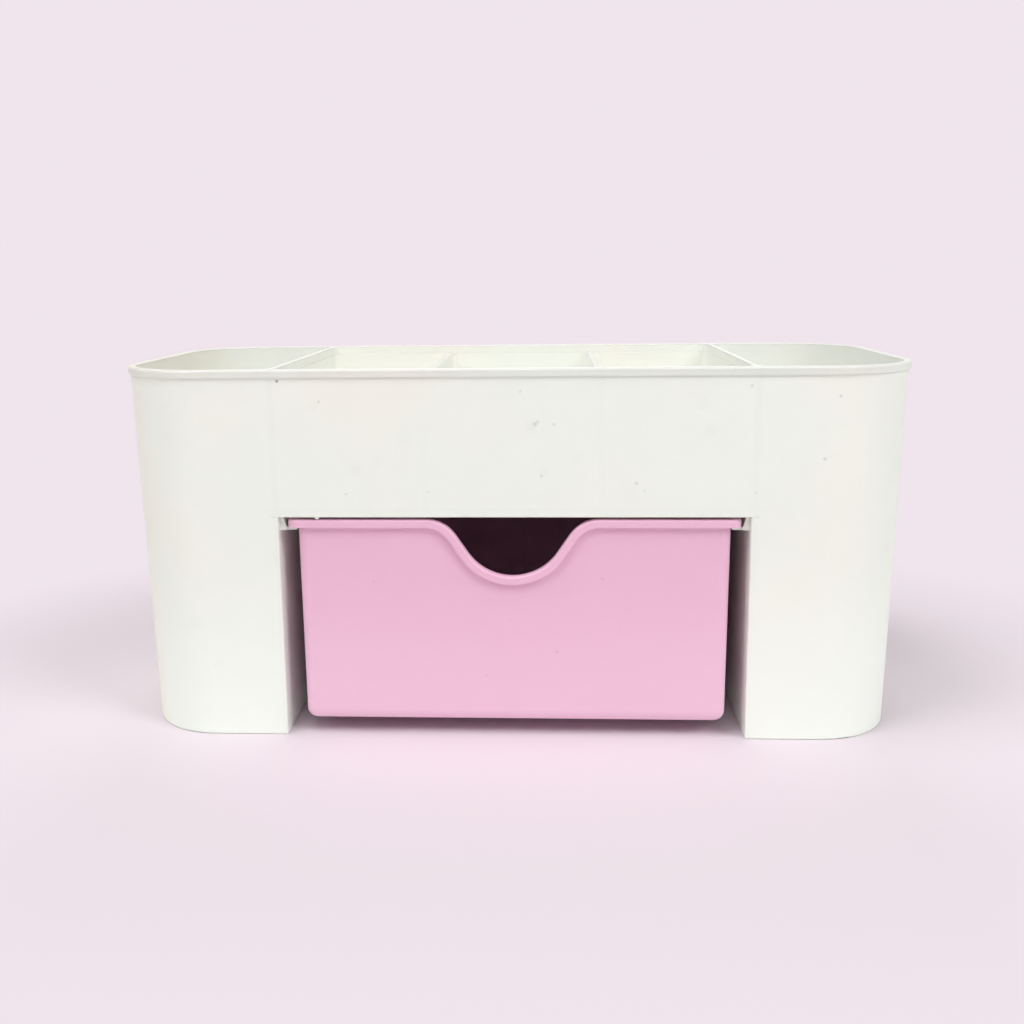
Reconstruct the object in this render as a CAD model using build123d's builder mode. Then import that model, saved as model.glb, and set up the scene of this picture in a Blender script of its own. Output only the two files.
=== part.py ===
from build123d import *

import os
from math import cos, radians, sin, tan

# Makeup storage box: a one-piece moulded housing with five open compartments on top, and a
# drawer that hangs by its rim on two ledges inside the housing's bay.
#
# Millimetres. +Z is up, the front faces -Y, and the origin is the middle of the footprint.

# Housing, outside
overall_width = 223.2  # over the rim lip, before its top edge is rounded
overall_depth = 94.8
overall_height = 105.5
lip_reach = 0.8  # how far the lip stands out of the wall
lip_height = 2.3
lip_slope = 8.0  # degrees, the lip's face comes in towards its foot
lip_top_rounding = 0.6
lip_bottom_rounding = 0.3
rim_corner_radius = 24.5  # outside of the wall at the rim
outer_draft = 1.15  # degrees, the walls come in towards the base
wall = 1.5
edge_rounding = 0.4
base_rounding = 0.6

# Round cups at both ends
cup_floor_top = 2.8
cup_corner_radius = 3.0
cup_floor_radius = 2.5
foot_width = 3.0  # standing edge under each cup
foot_recess = 0.8

# Three compartments between the cups
rebate_depth = 2.75  # the ledge lies this far under the rim
rebate_step = 0.6  # width of the ledge at the front and back of the compartments
rebate_end_step = 0.2
partition_cap_height = 0.45  # the partitions stand this far over the ledge
partition_rounding = 0.35
partition_spacing = 48.0  # between the middles of the two partitions
partition_thickness = 1.6
cup_wall_top = 1.4  # thickness of the walls beside the cups, at the rim
core_draft = 0.5
tray_floor = 2.0
tray_corner_radius = 2.5
tray_floor_radius = 2.0

# Drawer bay
bay_width = 129.8  # at its ceiling
bay_height = 64.5
bay_draft = 0.3  # the side walls lean apart towards the base
bay_side_wall = 1.4

# Drawer
drawer_side_gap = 2.1  # from the bay's side to the drawer's lip, at the ceiling
drawer_lip_height = 2.25
drawer_lip_front_reach = 1.2
drawer_lip_side_reach = 2.8
drawer_lip_corner_radius = 3.2
drawer_lip_rounding = 0.7
drawer_top_gap = 0.75  # from the bay's ceiling to the drawer's lip
drawer_floor_gap = 4.3  # from the table to the drawer's underside
drawer_setback = 0.3  # lip behind the housing's front
drawer_back_gap = 0.6
drawer_wall = 1.6
drawer_floor = 1.6
drawer_draft = 0.35
drawer_inner_corner_radius = 0.9
drawer_inner_floor_radius = 1.8

# Finger scoop in the drawer's front
scoop_depth = 16.2
scoop_radius = 14.8
scoop_slope = 56.0  # degrees from level
scoop_shoulder_radius = 10.0

# Rails that carry the drawer
running_gap = 0.3
ledge_thickness = 0.8
ledge_side_gap = 0.3  # from the ledge to the drawer's side
ledge_setback = 0.6  # behind the web's front end
web_setback = 2.4  # behind the housing's front
web_top_width = 0.8

# Cuts run this far past a face that they open
overshoot = 2.0


def draft_shift(angle, height):
    """How far a face with this draft moves sideways over a height."""
    return height * tan(radians(angle))


def tapered_block(width, depth, radius, top, bottom, draft):
    """A rounded block that narrows downwards."""
    with BuildPart() as block:
        with BuildSketch(Plane.XY.offset(top)):
            RectangleRounded(width, depth, radius)
        extrude(amount=bottom - top, taper=draft)
    return block.part


def mirrored(part):
    """The left-hand twin of a right-hand part."""
    return mirror(part, about=Plane.YZ, mode=Mode.PRIVATE)


# Housing sizes that follow
wall_width = overall_width - 2 * lip_reach
wall_depth = overall_depth - 2 * lip_reach
inside_width = wall_width - 2 * wall
inside_depth = wall_depth - 2 * wall
base_shift = draft_shift(outer_draft, overall_height)
rebate_floor = overall_height - rebate_depth
tray_floor_top = bay_height + tray_floor
bay_spread = draft_shift(bay_draft, bay_height)
cup_side = bay_width / 2 + bay_side_wall - draft_shift(bay_draft, overall_height - bay_height)
rebate_half_width = cup_side - cup_wall_top
tray_half_width = rebate_half_width - rebate_end_step
tray_depth = inside_depth - 2 * rebate_step
middle_cell = partition_spacing - partition_thickness
side_cell = tray_half_width - (partition_spacing + partition_thickness) / 2
side_cell_middle = tray_half_width - side_cell / 2

# Drawer sizes and places that follow
drawer_lip_width = bay_width - 2 * drawer_side_gap
drawer_lip_top = bay_height - drawer_top_gap
drawer_lip_bottom = drawer_lip_top - drawer_lip_height
lip_level_shift = draft_shift(outer_draft, overall_height - drawer_lip_top)
drawer_lip_front = -wall_depth / 2 + lip_level_shift + drawer_setback
drawer_lip_back = inside_depth / 2 - lip_level_shift - drawer_back_gap
drawer_lip_depth = drawer_lip_back - drawer_lip_front
drawer_middle = (drawer_lip_front + drawer_lip_back) / 2
drawer_width = drawer_lip_width - 2 * drawer_lip_side_reach
drawer_depth = drawer_lip_depth - 2 * drawer_lip_front_reach
drawer_front = drawer_lip_front + drawer_lip_front_reach

# Rail sizes and places that follow
ledge_top = drawer_lip_bottom - running_gap
ledge_bottom = ledge_top - ledge_thickness
ledge_inner = drawer_width / 2 + ledge_side_gap
groove_side = drawer_lip_width / 2 + running_gap
rail_root = (bay_width + bay_side_wall) / 2
rail_root_top = bay_height + tray_floor / 2
rail_front = -wall_depth / 2 + draft_shift(outer_draft, overall_height - bay_height) + web_setback
rail_back = (wall_depth - wall) / 2 - lip_level_shift


# Core of the right-hand cup: the inside of the end wall, closed by the wall beside the bay
cup_side_plane = Plane((cup_side, 0, overall_height), z_dir=(1, 0, tan(radians(bay_draft))))
cup_block = tapered_block(
    inside_width, inside_depth, rim_corner_radius - wall, overall_height, cup_floor_top, outer_draft
)
with BuildPart() as cup_core:
    add(cup_block)
    split(bisect_by=cup_side_plane, keep=Keep.TOP)
    upright_edges = cup_core.edges().filter_by(lambda e: abs(e.tangent_at(0).Z) > 0.9)
    fillet(upright_edges.group_by(Axis.X)[0], cup_corner_radius)
    fillet(cup_core.faces().sort_by(Axis.Z)[0].edges(), cup_floor_radius)

# Pocket under the right-hand cup, which leaves a standing edge
foot_inner = bay_width / 2 + bay_spread + foot_width
foot_outer = wall_width / 2 - base_shift - foot_width
foot_depth = wall_depth - 2 * base_shift - 2 * foot_width
with BuildPart() as foot_pocket:
    with BuildSketch():
        RectangleRounded(2 * foot_outer, foot_depth, rim_corner_radius - base_shift - foot_width)
        with Locations((foot_inner, 0)):
            Rectangle(2 * foot_outer, foot_depth, align=(Align.MAX, Align.CENTER), mode=Mode.SUBTRACT)
    extrude(amount=foot_recess)

# Rounded tops of the two partitions
with BuildPart() as partition_caps:
    with BuildSketch(Plane.XZ.offset(-inside_depth / 2)):
        with Locations((-partition_spacing / 2, rebate_floor), (partition_spacing / 2, rebate_floor)):
            Rectangle(partition_thickness, partition_cap_height, align=(Align.CENTER, Align.MIN))
    extrude(amount=inside_depth)
    fillet(partition_caps.edges().filter_by(Axis.Y).group_by(Axis.Z)[-1], partition_rounding)

# Cores of the three compartments, and the shallow rebate that joins them under the rim
with BuildPart() as compartment_cores:
    with BuildSketch(Plane.XY.offset(rebate_floor)):
        RectangleRounded(middle_cell, tray_depth, tray_corner_radius)
        with Locations((-side_cell_middle, 0), (side_cell_middle, 0)):
            RectangleRounded(side_cell, tray_depth, tray_corner_radius)
    extrude(amount=tray_floor_top - rebate_floor, taper=core_draft)
    fillet(compartment_cores.faces().group_by(Axis.Z)[0].edges(), tray_floor_radius)
    with BuildSketch(Plane.XY.offset(rebate_floor)):
        RectangleRounded(2 * rebate_half_width, inside_depth, tray_corner_radius + rebate_step)
    extrude(amount=rebate_depth)
    add(partition_caps.part, mode=Mode.SUBTRACT)

# Core of the bay, open at the front and underneath, as far as the inside of the back wall
back_plane = Plane((0, inside_depth / 2, overall_height), z_dir=(0, 1, -tan(radians(outer_draft))))
with BuildPart() as bay_core:
    with BuildSketch(Plane.XZ.offset(-overall_depth)):
        with BuildLine():
            Polyline(
                (-bay_width / 2, bay_height),
                (bay_width / 2, bay_height),
                (bay_width / 2 + bay_spread, 0),
                (-bay_width / 2 - bay_spread, 0),
                close=True,
            )
        make_face()
    extrude(amount=2 * overall_depth)
    split(bisect_by=back_plane, keep=Keep.BOTTOM)

# Right-hand rail: a web that widens downwards along the bay's side, and the ledge at its foot
with BuildPart() as rail:
    with BuildSketch(Plane.XZ.offset(-rail_back)):
        with BuildLine():
            Polyline(
                (rail_root, rail_root_top),
                (bay_width / 2 - web_top_width, rail_root_top),
                (bay_width / 2 - web_top_width, bay_height),
                (groove_side, ledge_top),
                (groove_side, ledge_bottom),
                (rail_root, ledge_bottom),
                close=True,
            )
        make_face()
    extrude(amount=rail_back - rail_front)
    with BuildSketch(Plane.XZ.offset(-rail_back)):
        with Locations((ledge_inner, ledge_bottom)):
            Rectangle(rail_root - ledge_inner, ledge_thickness, align=(Align.MIN, Align.MIN))
    extrude(amount=rail_back - rail_front - ledge_setback)

# Lip round the housing's rim
lip_foot = overall_height - lip_height
with BuildPart() as rim_lip:
    add(
        tapered_block(
            overall_width, overall_depth, rim_corner_radius + lip_reach, overall_height, lip_foot, lip_slope
        )
    )
    fillet(rim_lip.edges().group_by(Axis.Z)[-1], lip_top_rounding)
    fillet(rim_lip.edges().group_by(Axis.Z)[0], lip_bottom_rounding)

with BuildPart() as housing:
    add(tapered_block(wall_width, wall_depth, rim_corner_radius, overall_height, 0, outer_draft))
    fillet(housing.edges().group_by(Axis.Z)[0], base_rounding)
    add(rim_lip.part)
    for core in (cup_core.part, foot_pocket.part):
        add(core, mode=Mode.SUBTRACT)
        add(mirrored(core), mode=Mode.SUBTRACT)
    add(compartment_cores.part, mode=Mode.SUBTRACT)
    rim_face = housing.faces().sort_by(Axis.Z)[-1]
    fillet(rim_face.inner_wires().edges(), edge_rounding)
    add(bay_core.part, mode=Mode.SUBTRACT)
    forward_faces = housing.faces().filter_by(lambda f: f.normal_at().Y < -0.99 and f.center().Y < 0)
    front_edges = forward_faces.sort_by(SortBy.AREA)[-1].edges()
    bay_edges = front_edges.filter_by(
        lambda e: abs(e.center().X) < bay_width / 2 + bay_spread and e.center().Z < bay_height + edge_rounding
    )
    fillet(bay_edges, edge_rounding)
    add(rail.part)
    add(mirrored(rail.part))
housing.part.label = "housing"


def scoop_line(drop):
    """Corners and corner radii of the drawer's top edge, or of a line this far below it."""
    slope = radians(scoop_slope)
    apex = scoop_depth + scoop_radius * (1 / cos(slope) - 1) + drop / cos(slope)
    reach = (apex - drop) / tan(slope)
    end = drawer_lip_width / 2
    level = drawer_lip_top - drop
    corners = [(-end, level), (-reach, level), (0, drawer_lip_top - apex), (reach, level), (end, level)]
    return corners, [scoop_shoulder_radius - drop, scoop_radius + drop, scoop_shoulder_radius - drop]


# Band in front of the drawer's wall that carries the lip round the scoop
band_corners, band_radii = scoop_line(drawer_lip_height)
edge_corners, edge_radii = scoop_line(0)
scoop_half_width = edge_corners[3][0] + scoop_shoulder_radius * tan(radians(scoop_slope) / 2)
with BuildPart() as scoop_band:
    with BuildSketch(Plane.XZ.offset(-drawer_front - drawer_wall / 2)):
        with BuildLine():
            lower_line = FilletPolyline(*band_corners, radius=band_radii)
            Polyline(
                lower_line @ 1,
                (drawer_lip_width / 2, drawer_lip_top),
                (-drawer_lip_width / 2, drawer_lip_top),
                lower_line @ 0,
            )
        make_face()
        Rectangle(2 * scoop_half_width, 2 * drawer_lip_top, mode=Mode.INTERSECT)
    extrude(amount=drawer_lip_front_reach + drawer_wall / 2)

# Cut above the scoop's edge, through the front only
cut_top = drawer_lip_top + overshoot
with BuildPart() as scoop_cut:
    with BuildSketch(Plane.XZ.offset(-drawer_middle)):
        with BuildLine():
            scoop_edge = FilletPolyline(*edge_corners, radius=edge_radii)
            Polyline(
                scoop_edge @ 1,
                (drawer_lip_width / 2, cut_top),
                (-drawer_lip_width / 2, cut_top),
                scoop_edge @ 0,
            )
        make_face()
    extrude(amount=drawer_lip_depth / 2 + overshoot)

with BuildPart() as drawer:
    with BuildSketch(Plane.XY.offset(drawer_lip_top)):
        with Locations((0, drawer_middle)):
            RectangleRounded(drawer_width, drawer_depth, drawer_inner_corner_radius + drawer_wall)
    extrude(amount=drawer_floor_gap - drawer_lip_top, taper=drawer_draft)
    fillet(drawer.faces().sort_by(Axis.Z)[0].edges(), drawer_inner_floor_radius + drawer_floor)
    with BuildSketch(Plane.XY.offset(drawer_lip_top)):
        with Locations((0, drawer_middle)):
            RectangleRounded(drawer_lip_width, drawer_lip_depth, drawer_lip_corner_radius)
    extrude(amount=-drawer_lip_height)
    add(scoop_band.part)
    with BuildSketch(Plane.XY.offset(drawer_lip_top)):
        with Locations((0, drawer_middle)):
            RectangleRounded(
                drawer_width - 2 * drawer_wall, drawer_depth - 2 * drawer_wall, drawer_inner_corner_radius
            )
    extrude(amount=drawer_floor_gap + drawer_floor - drawer_lip_top, taper=drawer_draft, mode=Mode.SUBTRACT)
    drawer_floor_face = drawer.faces().filter_by(Axis.Z).group_by(Axis.Z)[1][0]
    fillet(drawer_floor_face.edges(), drawer_inner_floor_radius)
    add(scoop_cut.part, mode=Mode.SUBTRACT)
    # The top face and the scoop's faces share their cross edges; the edges round them are single
    lip_level = drawer_lip_top - scoop_depth - drawer_lip_height
    lip_faces = drawer.faces().filter_by(lambda f: f.normal_at().Z > 0.5 and f.center().Z > lip_level)
    lip_edges = lip_faces.edges()
    fillet([edge for edge in lip_edges if lip_edges.count(edge) == 1], drawer_lip_rounding)
drawer.part.label = "drawer"

os.makedirs("parts", exist_ok=True)
for piece in (housing, drawer):
    export_step(piece.part, f"parts/{piece.part.label}.step")
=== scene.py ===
from math import cos, radians, sin, tan

import bpy
from mathutils import Matrix, Vector


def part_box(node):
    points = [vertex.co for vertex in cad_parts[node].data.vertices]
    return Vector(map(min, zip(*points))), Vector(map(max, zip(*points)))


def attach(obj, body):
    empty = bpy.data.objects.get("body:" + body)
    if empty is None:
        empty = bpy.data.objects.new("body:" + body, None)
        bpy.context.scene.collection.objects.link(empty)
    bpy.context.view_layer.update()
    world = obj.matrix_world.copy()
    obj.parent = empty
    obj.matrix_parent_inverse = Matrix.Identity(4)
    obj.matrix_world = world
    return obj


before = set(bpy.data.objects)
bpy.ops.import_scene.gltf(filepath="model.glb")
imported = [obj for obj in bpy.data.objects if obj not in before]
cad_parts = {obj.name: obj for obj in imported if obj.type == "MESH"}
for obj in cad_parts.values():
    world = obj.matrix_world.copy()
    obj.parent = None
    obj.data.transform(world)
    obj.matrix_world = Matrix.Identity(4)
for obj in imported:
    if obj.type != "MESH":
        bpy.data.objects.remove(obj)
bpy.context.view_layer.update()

# Makeup storage box: looks for the moulded housing and its drawer. Metres, in the CAD model's frame.

_, housing_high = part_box("housing")
drawer_low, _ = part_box("drawer")

MILLIMETRE = 0.001

# Housing, as the CAD model has it
RIM_HEIGHT = housing_high[2]
WALL_HALF_WIDTH = 110.8 * MILLIMETRE
WALL_HALF_DEPTH = 46.6 * MILLIMETRE
RIM_CORNER_RADIUS = 24.5 * MILLIMETRE
WALL_DRAFT = radians(1.15)
CUP_WALL = 65.5 * MILLIMETRE  # middle of the walls beside the cups
PARTITION = 24.0 * MILLIMETRE
TRAY_FLOOR_LEVEL = 65.5 * MILLIMETRE
BAY_HALF_WIDTH = 64.9 * MILLIMETRE
BAY_HEIGHT = 64.5 * MILLIMETRE
BAY_FRONT = -45.75 * MILLIMETRE  # front of the wall at the bay's ceiling

# Burr of flash under the bay's ceiling, near its left corner
BURR_MIDDLE = -54.1 * MILLIMETRE
BURR_WIDTH = 1.7 * MILLIMETRE
BURR_DEPTH = 0.7 * MILLIMETRE
BURR_DROP = 0.6 * MILLIMETRE  # below the ceiling
BURR_ROOT = 0.4 * MILLIMETRE  # sunk into the ceiling
BURR_SETBACK = 0.45 * MILLIMETRE  # its middle, behind the wall's front
BURR_FOOT_SHARE = (0.42, 0.7, 1)  # its foot against its root, across, deep and up
BURR_FOOT_SHIFT = BURR_WIDTH / 8
BURR_ROUNDING = 0.13 * MILLIMETRE
BURR_SMOOTH_ANGLE = radians(40)

# Camera, as solved from the photograph's edges: metres, degrees, and pixels of its 1024-pixel frame
FRAME_PIXELS = 1024
CAMERA_PLACE = Vector((0.01046, -0.33892, 0.13097))
CAMERA_YAW, CAMERA_PITCH, CAMERA_ROLL = radians(-3.006), radians(10.768), radians(-0.653)
FOCAL_PIXELS = 1098.06
CENTRE_X_PIXELS, CENTRE_Y_PIXELS = 493.6, 479.55
SENSOR_WIDTH = 36.0
CLIP_START = 0.01

# Colours of the plastics
IVORY = (0.893, 0.914, 0.856, 1)
WARM_IVORY = (0.924, 0.903, 0.846, 1)
# lighter, cooler ivory: painted light towards the foot
PAINTED_LIGHT_FOOT_IVORY = (0.901, 0.928, 0.888, 1)
# yellower ivory, also painted darker: painted shade on the left end
YELLOWED_SHADED_IVORY = (0.885, 0.872, 0.775, 1)
PINK = (0.850, 0.492, 0.662, 1)
CLEAR_PINK = (0.865, 0.500, 0.675, 1)
# lighter pink: painted light towards the drawer's floor
PAINTED_LIGHT_PINK = (0.900, 0.560, 0.730, 1)
RUBBED_PINK = (0.90, 0.70, 0.80, 1)

# Plastics: gloss, and where their masks start and are full
PLASTIC_IOR = 1.49
PLASTIC_SPECULAR = 0.5
GREATEST_ROUGHNESS = 0.85
CREASE_SAMPLES = 6
CREASE_START, CREASE_FULL = 0.12, 0.5  # share of the sky that a point's surroundings hide
UPWARD_START, UPWARD_FULL = 0.3, 0.95  # upright part of the face's normal
LEAST_DOT = 0.1  # radius of the least dust dot, against the largest
DOT_SOFTNESS = 0.6

# Studio
MIDDLE = (0, 0, 0.05)  # where the lamps aim
LAMP_SIZE = 0.5
LAMPS = (  # name, watts, place
    ("front", 2.2, (0, -0.60, 1.09)),
    ("left", 3.3, (-0.85, -0.60, 0.90)),
    ("right", 6.8, (0.85, -0.60, 0.90)),
    ("above", 5.0, (-0.30, -0.20, 1.17)),
    ("behind", 3.5, (0, 0.98, 0.74)),
)
WORLD_COLOUR = (1, 0.985, 0.99, 1)
WORLD_STRENGTH = 0.24
BACKGROUND = (0.871, 0.783, 0.839, 1)
FLOOR_SIZE = 6
FLOOR_COLOUR = (0.73, 0.66, 0.706, 1)  # renders as the background under the lamps
FLOOR_BOUNCE = (0.88, 0.87, 0.86, 1)  # what the floor throws back at the object
SHADOW_HALF_WIDTH = 0.085  # the shadow fades by the distance from a box of these half sizes
SHADOW_HALF_DEPTH = 0.02
SHADOW_FADE_START, SHADOW_FADE_END = 0.05, 0.16


def place_camera():
    """The photograph's camera, with the small shift that its framing needs."""
    forward = Vector((
        sin(CAMERA_YAW) * cos(CAMERA_PITCH), cos(CAMERA_YAW) * cos(CAMERA_PITCH), -sin(CAMERA_PITCH)
    ))
    right = Vector((cos(CAMERA_YAW), -sin(CAMERA_YAW), 0))
    up = right.cross(forward)
    rolled_right = right * cos(CAMERA_ROLL) + up * sin(CAMERA_ROLL)
    rolled_up = up * cos(CAMERA_ROLL) - right * sin(CAMERA_ROLL)
    camera = bpy.data.objects.new("camera", bpy.data.cameras.new("camera"))
    bpy.context.scene.collection.objects.link(camera)
    turn = Matrix((rolled_right, rolled_up, -forward)).transposed()
    camera.matrix_world = Matrix.Translation(CAMERA_PLACE) @ turn.to_4x4()
    camera.data.sensor_width = SENSOR_WIDTH
    camera.data.lens = FOCAL_PIXELS / FRAME_PIXELS * SENSOR_WIDTH
    camera.data.shift_x = (FRAME_PIXELS / 2 - CENTRE_X_PIXELS) / FRAME_PIXELS
    camera.data.shift_y = (CENTRE_Y_PIXELS - FRAME_PIXELS / 2) / FRAME_PIXELS
    camera.data.clip_start = CLIP_START
    bpy.context.scene.camera = camera


class Value:
    """A number that varies over a surface; arithmetic on it adds Math nodes."""

    def __init__(self, finish, socket):
        self.finish = finish
        self.socket = socket

    def math(self, operation, *terms):
        return self.finish.node("Math", {"operation": operation}, dict(enumerate(terms)))

    def __add__(self, other):
        return self.math("ADD", self, other)

    def __radd__(self, other):
        return self.math("ADD", other, self)

    def __sub__(self, other):
        return self.math("SUBTRACT", self, other)

    def __rsub__(self, other):
        return self.math("SUBTRACT", other, self)

    def __mul__(self, other):
        return self.math("MULTIPLY", self, other)

    def __rmul__(self, other):
        return self.math("MULTIPLY", other, self)

    def __truediv__(self, other):
        return self.math("DIVIDE", self, other)

    def __pow__(self, other):
        return self.math("POWER", self, other)

    def __abs__(self):
        return self.math("ABSOLUTE", self)

    def at_least(self, other):
        return self.math("MAXIMUM", self, other)

    def at_most(self, other):
        return self.math("MINIMUM", self, other)

    def rise(self, start, end):
        """0 up to start, 1 from end on, smooth between them; the other way round where end is less."""
        if end < start:
            return 1 - self.rise(end, start)
        settings = {"interpolation_type": "SMOOTHSTEP"}
        return self.finish.node("MapRange", settings, {"Value": self, "From Min": start, "From Max": end})


class Finish:
    """The nodes of a material or of the world."""

    def __init__(self, owner):
        self.owner = owner
        owner.use_nodes = True
        self.tree = owner.node_tree
        self.tree.nodes.clear()

    def node(self, kind, settings=None, sockets=None, output=0):
        """Adds a node, sets it, links or sets its sockets, and returns one of its outputs."""
        made = self.tree.nodes.new("ShaderNode" + kind)
        for name, setting in (settings or {}).items():
            setattr(made, name, setting)
        for name, value in (sockets or {}).items():
            if isinstance(value, Value):
                self.tree.links.new(value.socket, made.inputs[name])
            else:
                made.inputs[name].default_value = value
        return Value(self, made.outputs[output]) if made.outputs else None

    def place(self):
        """The point in the object's frame, then its x, y and z."""
        point = self.node("TexCoord", output="Object")
        return point, *(self.node("SeparateXYZ", {}, {"Vector": point}, axis) for axis in "XYZ")

    def stretched(self, point, scale):
        return self.node("Mapping", {"vector_type": "POINT"}, {"Vector": point, "Scale": scale})

    def noise(self, point, size, detail=2.0, roughness=0.5):
        """Noise from 0 to 1 whose blotches are about this size."""
        sockets = {"Vector": point, "Scale": 1 / size, "Detail": detail, "Roughness": roughness}
        return self.node("TexNoise", {}, sockets, "Fac")

    def dots(self, point, spacing, size, share):
        """Soft dots, one to a cell at most, in this share of the cells."""
        sockets = {"Vector": point, "Scale": 1 / spacing}
        distance = self.node("TexVoronoi", {"feature": "F1"}, sockets, "Distance")
        cell_colour = self.node("TexVoronoi", {}, sockets, "Color")
        chance = self.node("SeparateColor", {}, {"Color": cell_colour}, "Red")
        radius = size / spacing * (chance * ((1 - LEAST_DOT) / share) + LEAST_DOT)
        return (1 - distance / radius).rise(0, DOT_SOFTNESS) * chance.rise(share, share * 0.98)

    def upward(self):
        """1 on faces that look up, 0 on upright ones."""
        normal = self.node("NewGeometry", output="Normal")
        return self.node("SeparateXYZ", {}, {"Vector": normal}, "Z").rise(UPWARD_START, UPWARD_FULL)

    def crease(self, reach):
        """1 deep in an inside corner and 0 on open faces further from it than this reach."""
        settings = {"samples": CREASE_SAMPLES, "only_local": True}
        open_share = self.node("AmbientOcclusion", settings, {"Distance": reach}, "AO")
        return (1 - open_share).rise(CREASE_START, CREASE_FULL)

    def mix(self, factor, first, second):
        """Mixes two colours."""
        made = {"data_type": "RGBA", "blend_type": "MIX"}
        return self.node("Mix", made, {"Factor": factor, 6: first, 7: second}, 2)

    def shaded(self, colour, factor):
        """A colour with its brightness multiplied by a value."""
        return self.node("VectorMath", {"operation": "SCALE"}, {0: colour, "Scale": factor})

    def bump(self, height):
        """A bumped normal from a height in millimetres."""
        return self.node("Bump", {}, {"Height": height, "Distance": MILLIMETRE, "Strength": 1.0})

    def plastic(self, colour, roughness, normal):
        """Closes the material as moulded plastic."""
        shader = self.node("BsdfPrincipled", {}, {
            "Base Color": colour, "Roughness": roughness, "Normal": normal, "IOR": PLASTIC_IOR,
            "Specular IOR Level": PLASTIC_SPECULAR,
        }, "BSDF")
        self.node("OutputMaterial", {}, {"Surface": shader})
        return self.owner

    def seen(self):
        """1 where the camera sees the surface, directly, in a reflection or through something clear."""
        kinds = ("Camera", "Glossy", "Transmission")
        camera, glossy, transmission = (self.node("LightPath", output=f"Is {kind} Ray") for kind in kinds)
        return (camera + glossy + transmission).at_most(1)


def marks(x, z, places):
    """Soft marks at places given as x, z and radius in millimetres, and how strong each is."""
    total = 0
    for mark_x, mark_z, radius, strength in places:
        across = x - mark_x * MILLIMETRE
        upright = z - mark_z * MILLIMETRE
        distance = (across * across + upright * upright) ** 0.5
        total = total + strength * distance.rise(radius * MILLIMETRE, 0.3 * radius * MILLIMETRE)
    return total


def darkened(shade, parts):
    """Takes each part's share off a brightness where its mask is 1; a negative share adds to it."""
    for share, mask in parts:
        shade = shade * (1 - share * mask)
    return shade


def rim_distance(x, y, z):
    """How far a point lies outside the housing's outer wall, which leans in towards the base."""
    across = (abs(x) - (WALL_HALF_WIDTH - RIM_CORNER_RADIUS)).at_least(0)
    deep = (abs(y) - (WALL_HALF_DEPTH - RIM_CORNER_RADIUS)).at_least(0)
    lean = (RIM_HEIGHT - z) * tan(WALL_DRAFT)
    return (across * across + deep * deep) ** 0.5 - RIM_CORNER_RADIUS + lean


# Dark specks and smudges on the front wall, and specks on the drawer: x, z, radius, strength
WALL_SPECKS = (
    (-63.1, 102.4, 0.6, 1.0), (-52.0, 96.7, 0.55, 0.35), (6.3, 90.3, 0.85, 0.33), (7.1, 91.0, 0.65, 0.27),
    (11.4, 90.2, 0.6, 0.25), (8.1, 76.1, 0.6, 0.26), (33.8, 74.1, 0.65, 0.33), (36.0, 72.0, 0.5, 0.2),
    (-45.6, 71.0, 0.55, 0.24), (87.1, 97.5, 0.6, 0.33), (83.6, 80.6, 0.7, 0.36), (-22.8, 71.7, 0.55, 0.2),
    (2.5, 99.2, 0.55, 0.2), (65.9, 71.5, 0.55, 0.2), (63.7, 100.4, 0.7, 0.23),
)
WALL_SMUDGES = (
    (-53.4, 95.4, 2.0, 0.9), (5.4, 90.0, 2.6, 1.0), (-42.8, 78.0, 2.4, 0.8), (17.8, 80.9, 2.4, 0.6),
    (53.2, 88.6, 2.8, 0.8), (-28.9, 86.5, 2.4, 0.6), (51.3, 95.6, 2.6, 0.8), (8.3, 77.2, 2.0, 0.7),
    (-36.5, 80.5, 2.0, 0.6), (-90.5, 34.0, 3.0, 0.6), (-84.0, 21.0, 2.4, 0.7),
)
DRAWER_SPECKS = (
    (-0.7, 34.8, 0.5, 0.7), (24.9, 46.7, 0.7, 1.0), (-38.9, 45.8, 0.6, 0.8), (-7.6, 18.3, 0.6, 0.8),
    (12.3, 25.4, 0.7, 0.9),
)


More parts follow.
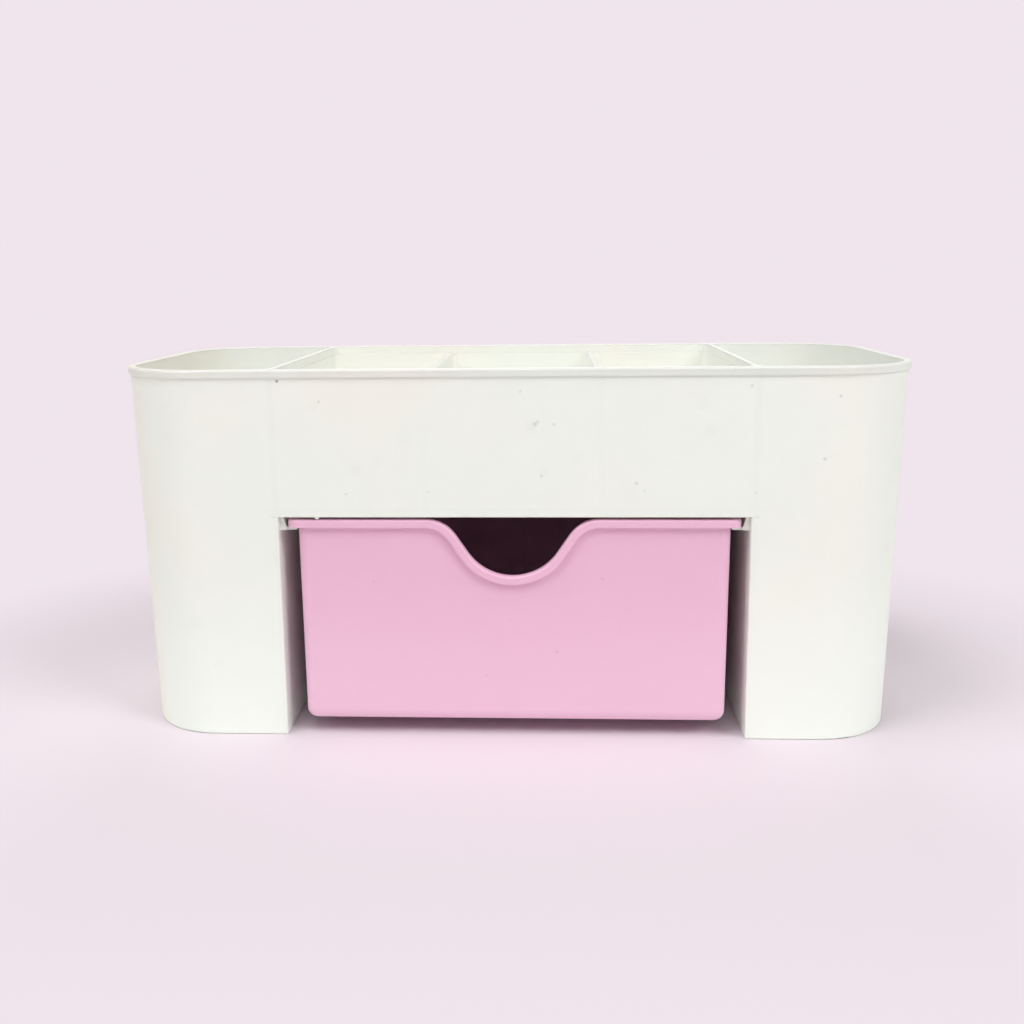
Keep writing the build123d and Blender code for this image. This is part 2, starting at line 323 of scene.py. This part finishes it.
def ivory_plastic():
    """Ivory-white moulding: faint mottling, sink lines where inner walls join, specks, handling wear, and
    painted shade and painted light.
    """
    paint = Finish(bpy.data.materials.new("ivory_plastic"))
    point, x, y, z = paint.place()
    outside = rim_distance(x, y, z)
    on_outside = outside.rise(-0.7 * MILLIMETRE, -0.3 * MILLIMETRE)
    in_front = y.rise(-35 * MILLIMETRE, -40 * MILLIMETRE) * on_outside

    mottle = paint.noise(point, 55 * MILLIMETRE, detail=3)
    cloud = paint.noise(point, 9 * MILLIMETRE, detail=3, roughness=0.6)
    grain = paint.noise(point, 0.8 * MILLIMETRE)
    foot = z.rise(62 * MILLIMETRE, 8 * MILLIMETRE)
    # The right end is less warm, and is painted a shade darker: painted shade
    right_end = x.rise(85 * MILLIMETRE, 104 * MILLIMETRE)
    warm = mottle.rise(0.42, 0.62) * (1 - 0.9 * right_end)
    colour = paint.mix(warm, IVORY, WARM_IVORY)
    # Painted light: the ivory is painted lighter and cooler towards the foot
    colour = paint.mix(0.8 * foot, colour, PAINTED_LIGHT_FOOT_IVORY)

    # The left end has turned a little yellow, and is painted a shade darker: painted shade
    yellowed_and_shaded = x.rise(-97 * MILLIMETRE, -109 * MILLIMETRE)
    colour = paint.mix(0.8 * yellowed_and_shaded, colour, YELLOWED_SHADED_IVORY)

    # Inner walls draw the front and the back in by a hair where they join them; the dips are also painted a
    # shade darker: painted shade
    reach = abs(x)
    sink = abs(reach - CUP_WALL).rise(1.6 * MILLIMETRE, 0.3 * MILLIMETRE)
    partition_sink = abs(reach - PARTITION).rise(1.4 * MILLIMETRE, 0.3 * MILLIMETRE)
    above_bay = z.rise(BAY_HEIGHT, BAY_HEIGHT + 3 * MILLIMETRE)
    floor_sink = abs(z - TRAY_FLOOR_LEVEL - 0.5 * MILLIMETRE).rise(1.5 * MILLIMETRE, 0.3 * MILLIMETRE)
    beside_bay = reach.rise(BAY_HALF_WIDTH + 5 * MILLIMETRE, BAY_HALF_WIDTH + 2 * MILLIMETRE)
    sinks = (sink + 0.4 * partition_sink * above_bay + 0.8 * floor_sink * beside_bay).at_most(1)
    sinks = sinks * on_outside

    # Shallow scratches and rubbed patches, broken up so that they never run far
    hairs = paint.noise(paint.stretched(point, (1, 1, 14)), 16 * MILLIMETRE, detail=4, roughness=0.62)
    patches = paint.noise(point, 22 * MILLIMETRE).rise(0.56, 0.7)
    scratches = hairs.rise(0.70, 0.73) * patches
    smear = (paint.noise(point, 1.6 * MILLIMETRE) - 0.5) * 2.2 * MILLIMETRE
    specks = (in_front * marks(x + 0.35 * smear, z + 0.35 * smear, WALL_SPECKS)).at_most(1)
    smudges = (in_front * marks(x + smear, z + smear, WALL_SMUDGES)).at_most(1)

    # A short mark runs outwards from each top corner of the bay
    past_bay = reach - BAY_HALF_WIDTH
    corner_mark = abs(z - BAY_HEIGHT - 0.2 * MILLIMETRE).rise(0.5 * MILLIMETRE, 0.1 * MILLIMETRE)
    corner_mark = corner_mark * past_bay.rise(2.9 * MILLIMETRE, 1.2 * MILLIMETRE)
    corner_mark = corner_mark * past_bay.rise(0.2 * MILLIMETRE, 0.8 * MILLIMETRE)

    # Dust dots, and dirt round the standing edges; painted shade in the creases and on faces that look up
    dust = paint.dots(point, spacing=6.5 * MILLIMETRE, size=0.28 * MILLIMETRE, share=0.16)
    crease = paint.crease(1.1 * MILLIMETRE)
    low = z.rise(2.6 * MILLIMETRE, 0.2 * MILLIMETRE)
    crease_shade_and_grime = (crease * 0.8 + low * cloud.rise(0.35, 0.65) * 0.2).at_most(1)
    # Painted light: the outside is painted lighter towards the foot
    painted_light_at_foot = foot * on_outside
    upward_painted_shade = paint.upward()

    # Hands dull the rim, the lip under it and the partitions' tops, and these are also painted darker:
    # painted shade
    on_rim = z.rise(RIM_HEIGHT - 0.7 * MILLIMETRE, RIM_HEIGHT - 0.3 * MILLIMETRE)
    on_lip = outside.rise(0.2 * MILLIMETRE, 0.4 * MILLIMETRE) * (1 - on_rim)
    lip_wear = outside.rise(0.45 * MILLIMETRE, 0.75 * MILLIMETRE) * cloud.rise(0.45, 0.65)
    near_rim = z.rise(RIM_HEIGHT - 3.4 * MILLIMETRE, RIM_HEIGHT - 2.8 * MILLIMETRE)
    on_partitions = upward_painted_shade * near_rim * (1 - on_rim)

    # The insides are painted a shade whiter: painted light
    in_cup = reach.rise(CUP_WALL, CUP_WALL + 0.5 * MILLIMETRE)
    in_tray = z.rise(TRAY_FLOOR_LEVEL, TRAY_FLOOR_LEVEL + 0.5 * MILLIMETRE)
    within_wall = outside.rise(-0.9 * MILLIMETRE, -1.3 * MILLIMETRE)
    inside = within_wall * (in_cup + in_tray).at_most(1) * (1 - on_rim)

    shade = darkened(0.985 + 0.022 * cloud + 0.012 * grain, (
        (0.018, sinks), (0.03, scratches), (0.06, smudges * cloud), (0.08, corner_mark * on_outside),
        (0.58, specks), (0.14, dust), (0.10, crease_shade_and_grime), (0.03, lip_wear), (0.13, upward_painted_shade),
        (0.10, on_rim), (0.22, on_partitions), (0.07, on_lip), (0.02, right_end),
        (-0.055, inside), (-0.06, painted_light_at_foot),
    ))
    colour = paint.shaded(colour, shade)

    roughness = 0.36 + 0.10 * cloud + 0.06 * mottle + 0.12 * crease_shade_and_grime + 0.10 * scratches
    roughness = roughness + 0.08 * lip_wear + 0.15 * specks + 0.12 * on_rim + 0.25 * on_partitions
    roughness = roughness.at_most(GREATEST_ROUGHNESS)
    relief = 0.25 * mottle - 0.05 * sinks + 0.01 * grain - 0.005 * scratches
    return paint.plastic(colour, roughness, paint.bump(relief))


def pink_plastic():
    """Pale pink moulding: faint mottling, sliding marks on the sides and the lip's ends, a few specks,
    painted shade in the creases and painted light low down.
    """
    paint = Finish(bpy.data.materials.new("pink_plastic"))
    point, x, y, z = paint.place()
    in_front = y.rise(drawer_low[1] + 3 * MILLIMETRE, drawer_low[1] + 2 * MILLIMETRE)
    mottle = paint.noise(point, 45 * MILLIMETRE, detail=3)
    cloud = paint.noise(point, 8 * MILLIMETRE, detail=3, roughness=0.6)
    grain = paint.noise(point, 0.8 * MILLIMETRE)
    crease = paint.crease(0.75 * MILLIMETRE)

    # The pink is painted lighter towards the drawer's floor: painted light
    colour = paint.mix(mottle.rise(0.3, 0.7), PINK, CLEAR_PINK)
    painted_light_low = z.rise(54 * MILLIMETRE, 8 * MILLIMETRE)
    colour = paint.mix(painted_light_low, colour, PAINTED_LIGHT_PINK)

    # The sides and the lip rub on the ledges as the drawer slides
    streaks = paint.noise(paint.stretched(point, (1, 0.04, 1)), 2.2 * MILLIMETRE, detail=4, roughness=0.6)
    side = abs(x).rise(59.4 * MILLIMETRE, 59.9 * MILLIMETRE)
    rubbed = side * streaks.rise(0.5, 0.62)
    specks = (in_front * marks(x, z, DRAWER_SPECKS)).at_most(1)
    dust = paint.dots(point, spacing=7 * MILLIMETRE, size=0.26 * MILLIMETRE, share=0.12)
    hairs = paint.noise(paint.stretched(point, (14, 1, 1)), 15 * MILLIMETRE, detail=4, roughness=0.62)
    scratches = hairs.rise(0.70, 0.73) * paint.noise(point, 20 * MILLIMETRE).rise(0.56, 0.7)

    # Painted shade: the creases, as under the lip, are painted darker
    shade = darkened(0.985 + 0.022 * cloud + 0.012 * grain, (
        (0.12, specks), (0.10, dust), (0.02, scratches), (0.28, crease),
    ))
    colour = paint.shaded(colour, shade)
    colour = paint.mix(0.22 * rubbed, colour, RUBBED_PINK)

    roughness = 0.33 + 0.10 * cloud + 0.06 * mottle + 0.12 * rubbed + 0.10 * scratches
    relief = 0.2 * mottle + 0.01 * grain - 0.004 * scratches - 0.002 * rubbed
    return paint.plastic(colour, roughness, paint.bump(relief))


def model_burr(finish):
    """A crumb of flash left where the mould's halves met, narrow at its foot and rounded."""
    bpy.ops.object.select_all(action="DESELECT")
    height = BURR_ROOT + BURR_DROP
    middle = (BURR_MIDDLE, BAY_FRONT + BURR_SETBACK, BAY_HEIGHT + BURR_ROOT - height / 2)
    bpy.ops.mesh.primitive_cube_add(size=1, location=middle, scale=(BURR_WIDTH, BURR_DEPTH, height))
    burr = bpy.context.object
    burr.name = "flash_burr"
    bpy.ops.object.transform_apply(location=True, rotation=True, scale=True)
    bpy.ops.object.mode_set(mode="EDIT")
    bpy.ops.mesh.select_mode(type="FACE")
    bpy.ops.mesh.select_all(action="DESELECT")
    bpy.ops.object.mode_set(mode="OBJECT")
    for face in burr.data.polygons:
        face.select = face.normal.z < -0.9
    bpy.ops.object.mode_set(mode="EDIT")
    foot_middle = (middle[0] + BURR_FOOT_SHIFT, middle[1], middle[2])
    bpy.ops.transform.resize(value=BURR_FOOT_SHARE, center_override=foot_middle)
    bpy.ops.mesh.select_all(action="SELECT")
    bpy.ops.mesh.bevel(offset=BURR_ROUNDING, segments=3, affect="EDGES")
    bpy.ops.object.mode_set(mode="OBJECT")
    bpy.ops.object.shade_smooth_by_angle(angle=BURR_SMOOTH_ANGLE)
    burr.data.materials.append(finish)
    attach(burr, "housing")


def backdrop_finish():
    """Plain pale lilac that keeps the object's shadow near it and is even further away."""
    paint = Finish(bpy.data.materials.new("backdrop"))
    _, x, y, _ = paint.place()
    beside = (abs(x) - SHADOW_HALF_WIDTH).at_least(0)
    before = (abs(y) - SHADOW_HALF_DEPTH).at_least(0)
    away = (beside * beside + before * before) ** 0.5
    seen = paint.seen()
    matt_colour = paint.mix(seen, FLOOR_BOUNCE, FLOOR_COLOUR)
    matt = paint.node("BsdfDiffuse", {}, {"Color": matt_colour}, "BSDF")
    even = paint.node("Emission", {}, {"Color": BACKGROUND, "Strength": 1.0})
    faded = away.rise(SHADOW_FADE_START, SHADOW_FADE_END)
    surface = paint.node("MixShader", {}, {0: faded * seen, 1: matt, 2: even})
    paint.node("OutputMaterial", {}, {"Surface": surface})
    return paint.owner


def even_world():
    """Even light from all round, and the background's own colour where the world is seen."""
    sky = Finish(bpy.data.worlds.new("studio"))
    bpy.context.scene.world = sky.owner
    light = sky.node("Background", {}, {"Color": WORLD_COLOUR, "Strength": WORLD_STRENGTH})
    shown = sky.node("Background", {}, {"Color": BACKGROUND, "Strength": 1.0})
    mixed = sky.node("MixShader", {}, {0: sky.seen(), 1: light, 2: shown})
    sky.node("OutputWorld", {}, {"Surface": mixed})


def add_lamp(name, watts, place):
    """A square area lamp that aims at the middle of the box."""
    lamp = bpy.data.lights.new(name, "AREA")
    lamp.shape = "SQUARE"
    lamp.size = LAMP_SIZE
    lamp.energy = watts
    holder = bpy.data.objects.new(name, lamp)
    holder.location = place
    holder.rotation_euler = (Vector(MIDDLE) - Vector(place)).to_track_quat("-Z", "Y").to_euler()
    bpy.context.scene.collection.objects.link(holder)


def build_studio():
    """The floor, the world and the lamps."""
    bpy.ops.object.select_all(action="DESELECT")
    bpy.ops.mesh.primitive_plane_add(size=FLOOR_SIZE, location=(0, 0, 0))
    floor = bpy.context.object
    floor.name = "floor"
    floor.data.materials.append(backdrop_finish())
    even_world()
    for name, watts, place in LAMPS:
        add_lamp(name, watts, place)


place_camera()
housing_finish = ivory_plastic()
drawer_finish = pink_plastic()
for name, finish in (("housing", housing_finish), ("drawer", drawer_finish)):
    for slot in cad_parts[name].material_slots:
        slot.material = finish
model_burr(housing_finish)
build_studio()
bpy.context.scene.view_settings.view_transform = "Standard"
